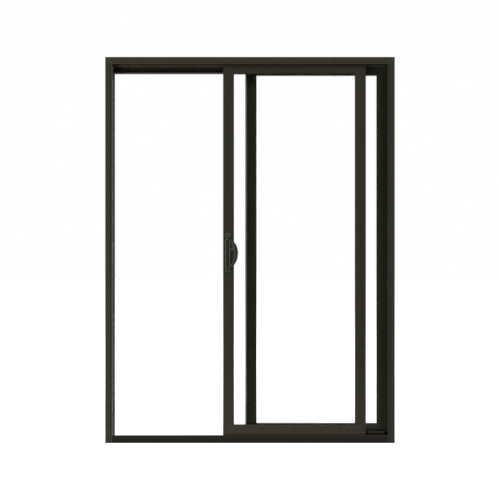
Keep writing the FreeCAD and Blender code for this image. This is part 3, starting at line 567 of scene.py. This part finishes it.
def make_stage():
    """Pale round floor that stays white where it is seen, apart from the door's own shadow."""
    def disc(grid):
        bmesh.ops.create_circle(grid, cap_ends=True, radius=FLOOR_RADIUS, segments=96)

    floor = new_object("floor", mesh_of("floor", disc))
    material = bpy.data.materials.new("floor")
    material.use_nodes = True
    tree = material.node_tree
    shader = tree.nodes["Principled BSDF"]
    shader.inputs["Base Color"].default_value = FLOOR_COLOUR
    shader.inputs["Roughness"].default_value = 0.9
    shader.inputs["Specular IOR Level"].default_value = 0.0
    shader.inputs["Emission Color"].default_value = (1, 1, 1, 1)
    coordinates = tree.nodes.new("ShaderNodeTexCoord")
    reach = tree.nodes.new("ShaderNodeVectorMath")
    reach.operation = "LENGTH"
    level = tree.nodes.new("ShaderNodeMapRange")
    level.inputs["From Min"].default_value = FLOOR_NEAR
    level.inputs["From Max"].default_value = FLOOR_FAR
    level.inputs["To Min"].default_value = FLOOR_GLOW_NEAR
    level.inputs["To Max"].default_value = FLOOR_GLOW_FAR
    tree.links.new(coordinates.outputs["Object"], reach.inputs[0])
    tree.links.new(reach.outputs["Value"], level.inputs["Value"])
    glow = tree.nodes.new("ShaderNodeMath")
    glow.operation = "MULTIPLY"
    tree.links.new(level.outputs["Result"], glow.inputs[1])
    tree.links.new(seen_directly(tree), glow.inputs[0])
    tree.links.new(glow.outputs["Value"], shader.inputs["Emission Strength"])
    floor.data.materials.append(material)


def make_world():
    """White surroundings where they are seen, and a dimmer even fill elsewhere."""
    world = bpy.data.worlds.new("studio")
    bpy.context.scene.world = world
    world.use_nodes = True
    tree = world.node_tree
    background = tree.nodes["Background"]
    background.inputs["Color"].default_value = (1, 1, 1, 1)
    strength = tree.nodes.new("ShaderNodeMapRange")
    strength.inputs["To Min"].default_value = WORLD_FILL
    strength.inputs["To Max"].default_value = 1.0
    tree.links.new(seen_directly(tree), strength.inputs["Value"])
    tree.links.new(strength.outputs["Result"], background.inputs["Strength"])


def make_lamp(name, azimuth, elevation, distance, size, level, mirrored=True):
    """Soft lamp aimed at the middle of the door, from azimuth degrees to the right of its front."""
    side, rise = math.radians(azimuth), math.radians(elevation)
    away = Vector((math.cos(rise) * math.sin(side), -math.cos(rise) * math.cos(side), math.sin(rise)))
    lamp = bpy.data.objects.new(name, bpy.data.lights.new(name, "AREA"))
    lamp.data.shape = "RECTANGLE"
    lamp.data.size, lamp.data.size_y = size
    lamp.data.energy = level * (math.pi * distance) ** 2
    lamp.location = (cad_box[0] + cad_box[1]) / 2 + away * distance
    lamp.rotation_euler = (-away).to_track_quat("-Z", "Y").to_euler()
    lamp.visible_glossy = mirrored
    bpy.context.scene.collection.objects.link(lamp)


# Pieces

def screw_mesh(name, radius, height):
    """Domed screw head with a cross recess, its seat at the origin and its top along +Z."""
    rim, steps = 0.25, 6
    turns = [math.pi / 2 * i / steps for i in range(steps + 1)]
    dome = [(radius * math.sin(turn), height * (rim + (1 - rim) * math.cos(turn))) for turn in turns]

    def head(grid):
        lathe(grid, dome + [(radius, 0), (0, 0)])

    def cross(grid):
        long, short = 0.55 * radius, 0.14 * radius
        arm = ((long, -short), (long, short), (short, short))
        loops = []
        for share, level in ((0.5, 0.30 * height), (1.0, 0.6 * height), (1.1, 2 * height)):
            loops.append([(share * (x * c - y * s), share * (x * s + y * c), level)
                          for c, s in ((1, 0), (0, 1), (-1, 0), (0, -1)) for x, y in arm])
        layers(grid, loops)

    made = cut_away(mesh_of(name, head), mesh_of(name + "_recess", cross))
    made.name = name
    smooth(made)
    return made


def place_screw(name, mesh, seat, outward, body, slot, turn=0.0, finish=None):
    """A screw head or plug on its seat, with its top towards outward."""
    screw = new_object(name, mesh.copy())
    upright = Vector(outward).to_track_quat("Z", "Y").to_matrix().to_4x4()
    screw.data.transform(Matrix.Translation(seat) @ upright @ Matrix.Rotation(turn, 4, "Z"))
    dress(screw, MATERIALS[finish or slot], body)


def make_screws():
    """Screw heads in the handles, the keeper, the faceplate, the stop block and the frame."""
    turns = random.Random(7)
    handle_screw = screw_mesh("handle_screw", *HANDLE_SCREW)
    low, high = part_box("sliding_lock_stile")
    for side, way in (("inner", -1), ("outer", 1)):
        face = low.y if way < 0 else high.y
        for end, step in (("low", -1), ("high", 1)):
            seat = (HANDLE_X, face + way * HANDLE_SCREW_SEAT, HANDLE_Z + step * HANDLE_SCREW_SPACING / 2)
            place_screw(f"{side}_handle_{end}_screw", handle_screw, seat, (0, way, 0), "sliding_panel",
                        "bronze_hardware", turns.uniform(0, math.pi), "dark_screw")

    plate_screw = screw_mesh("plate_screw", *SMALL_PLATE_SCREW)
    for node, body, way in (("strike_keeper", "door_frame", 1), ("lock_faceplate", "sliding_panel", -1)):
        low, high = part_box(node)
        seat_x = high.x if way > 0 else low.x
        for end, z in (("low", low.z + SMALL_PLATE_SCREW_INSET), ("high", high.z - SMALL_PLATE_SCREW_INSET)):
            place_screw(f"{node}_{end}_screw", plate_screw, (seat_x, ROLLER_LINE, z), (way, 0, 0), body,
                        "steel", turns.uniform(0, math.pi))

    frame_screw = screw_mesh("frame_screw", *FRAME_SCREW)
    for side, way in (("left", 1), ("right", -1)):
        for number, z in enumerate(JAMB_SCREW_HEIGHTS, 1):
            place_screw(f"{side}_jamb_screw_{number}", frame_screw, (way * WEB_X, ROLLER_LINE, z),
                        (way, 0, 0), "door_frame", "steel", turns.uniform(0, math.pi))
    for side, way in (("left", -1), ("right", 1)):
        place_screw(f"{side}_head_screw", frame_screw, (way * HEAD_SCREW_X, ROLLER_LINE, WEB_Z),
                    (0, 0, -1), "door_frame", "steel", turns.uniform(0, math.pi))
    low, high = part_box("stop_block")
    place_screw("stop_block_screw", frame_screw, ((low.x + high.x) / 2, ROLLER_LINE, high.z), (0, 0, 1),
                "door_frame", "steel", turns.uniform(0, math.pi), "dark_screw")


def stadium(half_width, low, high, steps=14):
    """Points of an upright outline with round ends, as (x, z) about the handle's middle line."""
    points = []
    for start, centre in ((0, high - half_width), (math.pi, low + half_width)):
        for i in range(steps + 1):
            turn = start + math.pi * i / steps
            points.append((half_width * math.cos(turn), centre + half_width * math.sin(turn)))
    return points


def plate_mesh(face, way, pocket):
    """Cast plate with rolled edges, a sunk field, screw recesses and the latch's pocket behind it."""
    low, high = (corner.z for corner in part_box("inner_handle"))

    def at(x, height, z):
        return (HANDLE_X + x, face + way * height, z)

    def rounded(half_width, bottom, top, rows):
        return [[at(x, height, z) for x, z in stadium(half_width - inset, bottom + inset, top - inset)]
                for inset, height in rows]

    roll = ((0.0, 0.0), (0.0, -0.0016), (0.0002, -0.0008), (0.0007, -0.0002), (0.0015, 0.0))
    body_rows = [(0.0, 0.0)] + [(inset, PLATE_THICKNESS + drop) for inset, drop in roll[1:]]
    floor = PLATE_THICKNESS - PLATE_SINK
    field_rows = [(0.0006, floor), (0.0001, floor + 0.0003), (0.0, floor + 0.0008),
                  (-0.0002, floor + 0.0012), (-0.0008, PLATE_THICKNESS + 0.0001),
                  (-0.0009, PLATE_THICKNESS + 0.001)]

    def body(grid):
        layers(grid, rounded(PLATE_WIDTH / 2, low, high, body_rows))

    def field(grid):
        layers(grid, rounded(PLATE_WIDTH / 2 - PLATE_BORDER, low + PLATE_PAD, high - PLATE_PAD, field_rows))

    def recess(grid):
        turns = [2 * math.pi * i / RECESS_POINTS for i in range(RECESS_POINTS)]
        for end in (-1, 1):
            centre = HANDLE_Z + end * HANDLE_SCREW_SPACING / 2
            layers(grid, [[at(radius * math.cos(turn), height, centre + radius * math.sin(turn))
                           for turn in turns] for radius, height in RECESS_ROWS])

    def latch_pocket(grid):
        half, side = LATCH_POCKET_HALF, PLATE_WIDTH / 2 + LATCH_GAP
        spread = side * math.tan(LATCH_TURN) + LATCH_HALF_WIDTH / math.cos(LATCH_TURN) + LATCH_GAP
        outline = ((-half, -half), (side, -spread), (side, spread), (-half, half))
        layers(grid, [[at(x, height, HANDLE_Z + z) for x, z in outline]
                      for height in (-LATCH_GAP, LATCH_POCKET_DEPTH)])

    mesh = cut_away(mesh_of("plate_body", body), mesh_of("plate_field", field))
    mesh = cut_away(mesh, mesh_of("plate_recess", recess))
    if pocket:
        mesh = cut_away(mesh, mesh_of("plate_pocket", latch_pocket))
    smooth(mesh, sharp_above=35)
    return mesh


def grip_mesh(face, way):
    """Bowed grip that leans to the side: a soft-cornered section, widest at the middle of its arc."""
    foot, apex = Vector(GRIP_FOOT), Vector(GRIP_APEX)
    middle = HANDLE_Z - GRIP_DROP
    reach = (apex - foot).length
    lean = (apex - foot).normalized()
    radius = (GRIP_HALF_HEIGHT ** 2 + reach ** 2) / (2 * reach)
    limit = math.acos((radius - reach) / radius)
    rings, points = 84, 36

    def sweep(grid):
        loops = []
        for ring in range(rings + 1):
            turn = limit * (2 * ring / rings - 1)
            along = 1 - abs(turn) / limit
            eased = min(along * GRIP_SWELL_RATE, 1)
            eased = eased * eased * (3 - 2 * eased)
            flare = GRIP_FLARE * math.exp(-along / GRIP_FLARE_LENGTH)
            wide = GRIP_HALF_WIDTH + GRIP_SWELL * eased + flare
            thin = GRIP_HALF_THICKNESS + flare
            loop = []
            for i in range(points):
                angle = 2 * math.pi * i / points
                across = wide * math.copysign(abs(math.cos(angle)) ** GRIP_CORNERS, math.cos(angle))
                inward = thin * math.copysign(abs(math.sin(angle)) ** GRIP_CORNERS, math.sin(angle))
                out = reach - radius + (radius - inward) * math.cos(turn)
                x = foot.x + lean.x * out + lean.y * across
                height = foot.y + lean.y * out - lean.x * across
                loop.append((HANDLE_X + x, face + way * height, middle + (radius - inward) * math.sin(turn)))
            loops.append(loop)
        layers(grid, loops)

    mesh = mesh_of("grip", sweep)
    smooth(mesh, sharp_above=60)
    return mesh


def make_handles():
    """Plate and grip on each side of the lock stile, in place of the plainer cast shapes."""
    low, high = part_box("sliding_lock_stile")
    for side, face, way in (("inner", low.y, -1), ("outer", high.y, 1)):
        plate = new_object(f"{side}_handle_plate", plate_mesh(face, way, side == "inner"))
        dress(plate, MATERIALS["bronze_hardware"], "sliding_panel")
        grip = new_object(f"{side}_handle_grip", grip_mesh(face, way))
        dress(grip, MATERIALS["worn_highlit_bronze"], "sliding_panel")
        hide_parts(f"{side}_handle")


def make_latch_ridges():
    """Three ridges across the thumb latch's pad."""
    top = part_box("thumb_latch")[0].y
    along = Vector((math.cos(LATCH_TURN), 0, math.sin(LATCH_TURN)))
    across = Vector((-math.sin(LATCH_TURN), 0, math.cos(LATCH_TURN)))
    hub = Vector((HANDLE_X, top, HANDLE_Z))

    steps, sunk, end_share = 8, 0.0003, 0.3
    section = [(RIDGE_RADIUS * math.cos(math.pi * i / steps), RIDGE_RADIUS * math.sin(math.pi * i / steps))
               for i in range(steps + 1)] + [(-RIDGE_RADIUS, -sunk), (RIDGE_RADIUS, -sunk)]
    full = RIDGE_HALF_LENGTH - RIDGE_TAPER
    stations = ((-RIDGE_HALF_LENGTH, end_share), (-full, 1), (full, 1), (RIDGE_HALF_LENGTH, end_share))

    def ridges(grid):
        for place in RIDGE_PLACES:
            layers(grid, [[hub + along * (place + a) + across * shift + Vector((0, -b * share, 0))
                           for a, b in section] for shift, share in stations])

    mesh = mesh_of("latch_ridges", ridges)
    smooth(mesh, sharp_above=50)
    dress(new_object("latch_ridges", mesh), MATERIALS["worn_highlit_bronze"], "latch_lever")


def make_plugs():
    """Round plugs over the roller adjusting holes, low on the sliding panel's two upright edges."""
    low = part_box("sliding_lock_stile")[0]
    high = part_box("sliding_meeting_stile")[1]

    profile = ((0, 0.0007), (0.0022, 0.0008), (0.0034, 0.0006), (0.0040, 0.0002), (0.0041, -0.0004),
               (0, -0.0004))
    plug = mesh_of("plug", lambda grid: lathe(grid, profile))
    smooth(plug, sharp_above=50)
    for side, x, way in (("lock", low.x, -1), ("meeting", high.x, 1)):
        place_screw(f"{side}_roller_plug", plug, (x, ROLLER_LINE, low.z + PLUG_HEIGHT), (way, 0, 0),
                    "sliding_panel", "rubber")


def make_gasket(name, panel, glass_y, outward, body):
    """Rubber glazing bead round one face of a panel's glass, mitred at the corners."""
    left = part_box(f"{panel}_left_bead")[1].x
    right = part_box(f"{panel}_right_bead")[0].x
    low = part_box(f"{panel}_bottom_bead")[1].z
    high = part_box(f"{panel}_top_bead")[0].z
    width, height, steps = 0.0006, 0.0022, 5
    turns = [math.pi / 2 * i / steps for i in range(steps + 1)]
    profile = [(0, 0)] + [(width * math.cos(turn), height * math.sin(turn)) for turn in turns]

    def ring(grid):
        loops = []
        for inward, rise in profile:
            y = glass_y + outward * rise
            loops.append([grid.verts.new((x, y, z)) for x, z in (
                (left + inward, low + inward), (right - inward, low + inward),
                (right - inward, high - inward), (left + inward, high - inward))])
        for first, second in zip(loops, loops[1:] + loops[:1]):
            for i in range(4):
                j = (i + 1) % 4
                grid.faces.new((first[i], first[j], second[j], second[i]))

    mesh = mesh_of(name, ring)
    smooth(mesh)
    dress(new_object(name, mesh), MATERIALS["rubber"], body)


def make_gaskets():
    """Gaskets on the room side and the outside of both panels' glass."""
    for panel, body in (("sliding", "sliding_panel"), ("fixed", "door_frame")):
        make_gasket(f"{panel}_inner_gasket", panel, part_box(f"{panel}_inner_pane")[0].y, -1, body)
        make_gasket(f"{panel}_outer_gasket", panel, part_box(f"{panel}_outer_pane")[1].y, 1, body)


def make_pile():
    """Woven pile on the middle fin beside the left jamb: a dark backing with rows of leaning tufts."""
    low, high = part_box("jamb_weatherstrip")
    backing, bare, margin = 0.0012, 0.0020, 0.0007
    pitch, columns, tuft_lean, tuft_shortfall, rooted = 0.0014, 5, 0.0006, 0.0007, 0.0002
    root_radius, tip_radius = 0.00060, 0.00030
    scatter = random.Random(3)
    root_y = high.y - backing
    strip = mesh_of("pile_backing", lambda grid: layers(grid, [
        [(low.x, root_y, z), (high.x, root_y, z), (high.x, high.y, z), (low.x, high.y, z)]
        for z in (low.z, high.z)]))
    dress(new_object("pile_backing", strip), MATERIALS["seal"], "door_frame")
    verts, faces = [], []
    right = high.x - bare
    step = (right - low.x - 2 * margin) / (columns - 1)
    for row in range(int((high.z - low.z - 2 * margin) / pitch)):
        for column in range(columns):
            x = low.x + margin + step * column + scatter.uniform(-0.2, 0.2) * step
            z = low.z + margin + pitch * (row + 0.5 + scatter.uniform(-0.3, 0.3))
            tip_x = min(max(x + scatter.uniform(-tuft_lean, tuft_lean), low.x + margin), right - margin)
            tip_z = min(z + scatter.uniform(-tuft_lean, tuft_lean), high.z - margin)
            tip_y = low.y + scatter.uniform(0, tuft_shortfall)
            turn = scatter.uniform(0, math.pi)
            first = len(verts)
            for y, x_at, z_at, radius in ((root_y + rooted, x, z, root_radius),
                                          (tip_y, tip_x, tip_z, tip_radius)):
                for i in range(3):
                    angle = turn + 2 * math.pi * i / 3
                    verts.append((x_at + radius * math.cos(angle), y, z_at + radius * math.sin(angle)))
            for i in range(3):
                j = (i + 1) % 3
                faces.append((first + i, first + j, first + 3 + j, first + 3 + i))
            faces.append((first + 3, first + 4, first + 5))
    mesh = bpy.data.meshes.new("jamb_pile")
    mesh.from_pydata(verts, [], faces)
    pile = dress(new_object("jamb_pile", mesh), MATERIALS["pile"], "door_frame")
    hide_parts("jamb_weatherstrip")


def make_head_seal():
    """Flexible flap seal under the head: a flat foot on the fin and a lip that curls forward and down."""
    low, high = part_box("head_weatherstrip")
    wall, foot_height, lip_lean, ripple_height = 0.0009, 0.004, 0.0012, 0.00035
    depth = high.y - low.y - wall
    bulge = [(high.y - depth * math.sin(math.radians(turn)) - wall / 2,
              high.z - depth + depth * math.cos(math.radians(turn)) - wall / 2) for turn in range(0, 91, 15)]
    drop = [(low.y + wall / 2 + share * lip_lean, bulge[-1][1] - share * (bulge[-1][1] - low.z))
            for share in (0.33, 0.66, 1.0)]
    line = [(high.y - wall / 2, low.z + foot_height)] + bulge + drop
    outer, inner = [], []
    for index, (y, z) in enumerate(line):
        before, after = line[max(index - 1, 0)], line[min(index + 1, len(line) - 1)]
        along = Vector((after[0] - before[0], after[1] - before[1])).normalized()
        outer.append((y + along.y * wall / 2, z - along.x * wall / 2))
        inner.append((y - along.y * wall / 2, z + along.x * wall / 2))
    section = outer + inner[::-1]
    steps = 90

    def sweep(grid):
        loops = []
        for step in range(steps + 1):
            x = low.x + (high.x - low.x) * step / steps
            ripple = ripple_height * (math.sin(step * 0.9) + math.sin(step * 2.3 + 1)) / 2
            loops.append([(x, y + ripple * min(max((high.y - wall - y) / depth, 0), 1), max(z, low.z))
                          for y, z in section])
        layers(grid, loops)

    mesh = mesh_of("head_seal", sweep)
    smooth(mesh)
    seal = dress(new_object("head_seal", mesh), MATERIALS["seal"], "door_frame")
    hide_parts("head_weatherstrip")


dress_cad_nodes()
make_camera()
make_stage()
make_world()
make_lamp("key", KEY_AZIMUTH, KEY_ELEVATION, KEY_DISTANCE, KEY_SIZE, KEY_LEVEL)
make_lamp("fill", FILL_AZIMUTH, FILL_ELEVATION, FILL_DISTANCE, FILL_SIZE, FILL_LEVEL, mirrored=False)
make_lamp("back", BACK_AZIMUTH, BACK_ELEVATION, BACK_DISTANCE, BACK_SIZE, BACK_LEVEL, mirrored=False)
make_handles()
make_latch_ridges()
make_screws()
make_plugs()
make_gaskets()
make_pile()
make_head_seal()

bpy.context.scene.view_settings.view_transform = "Standard"
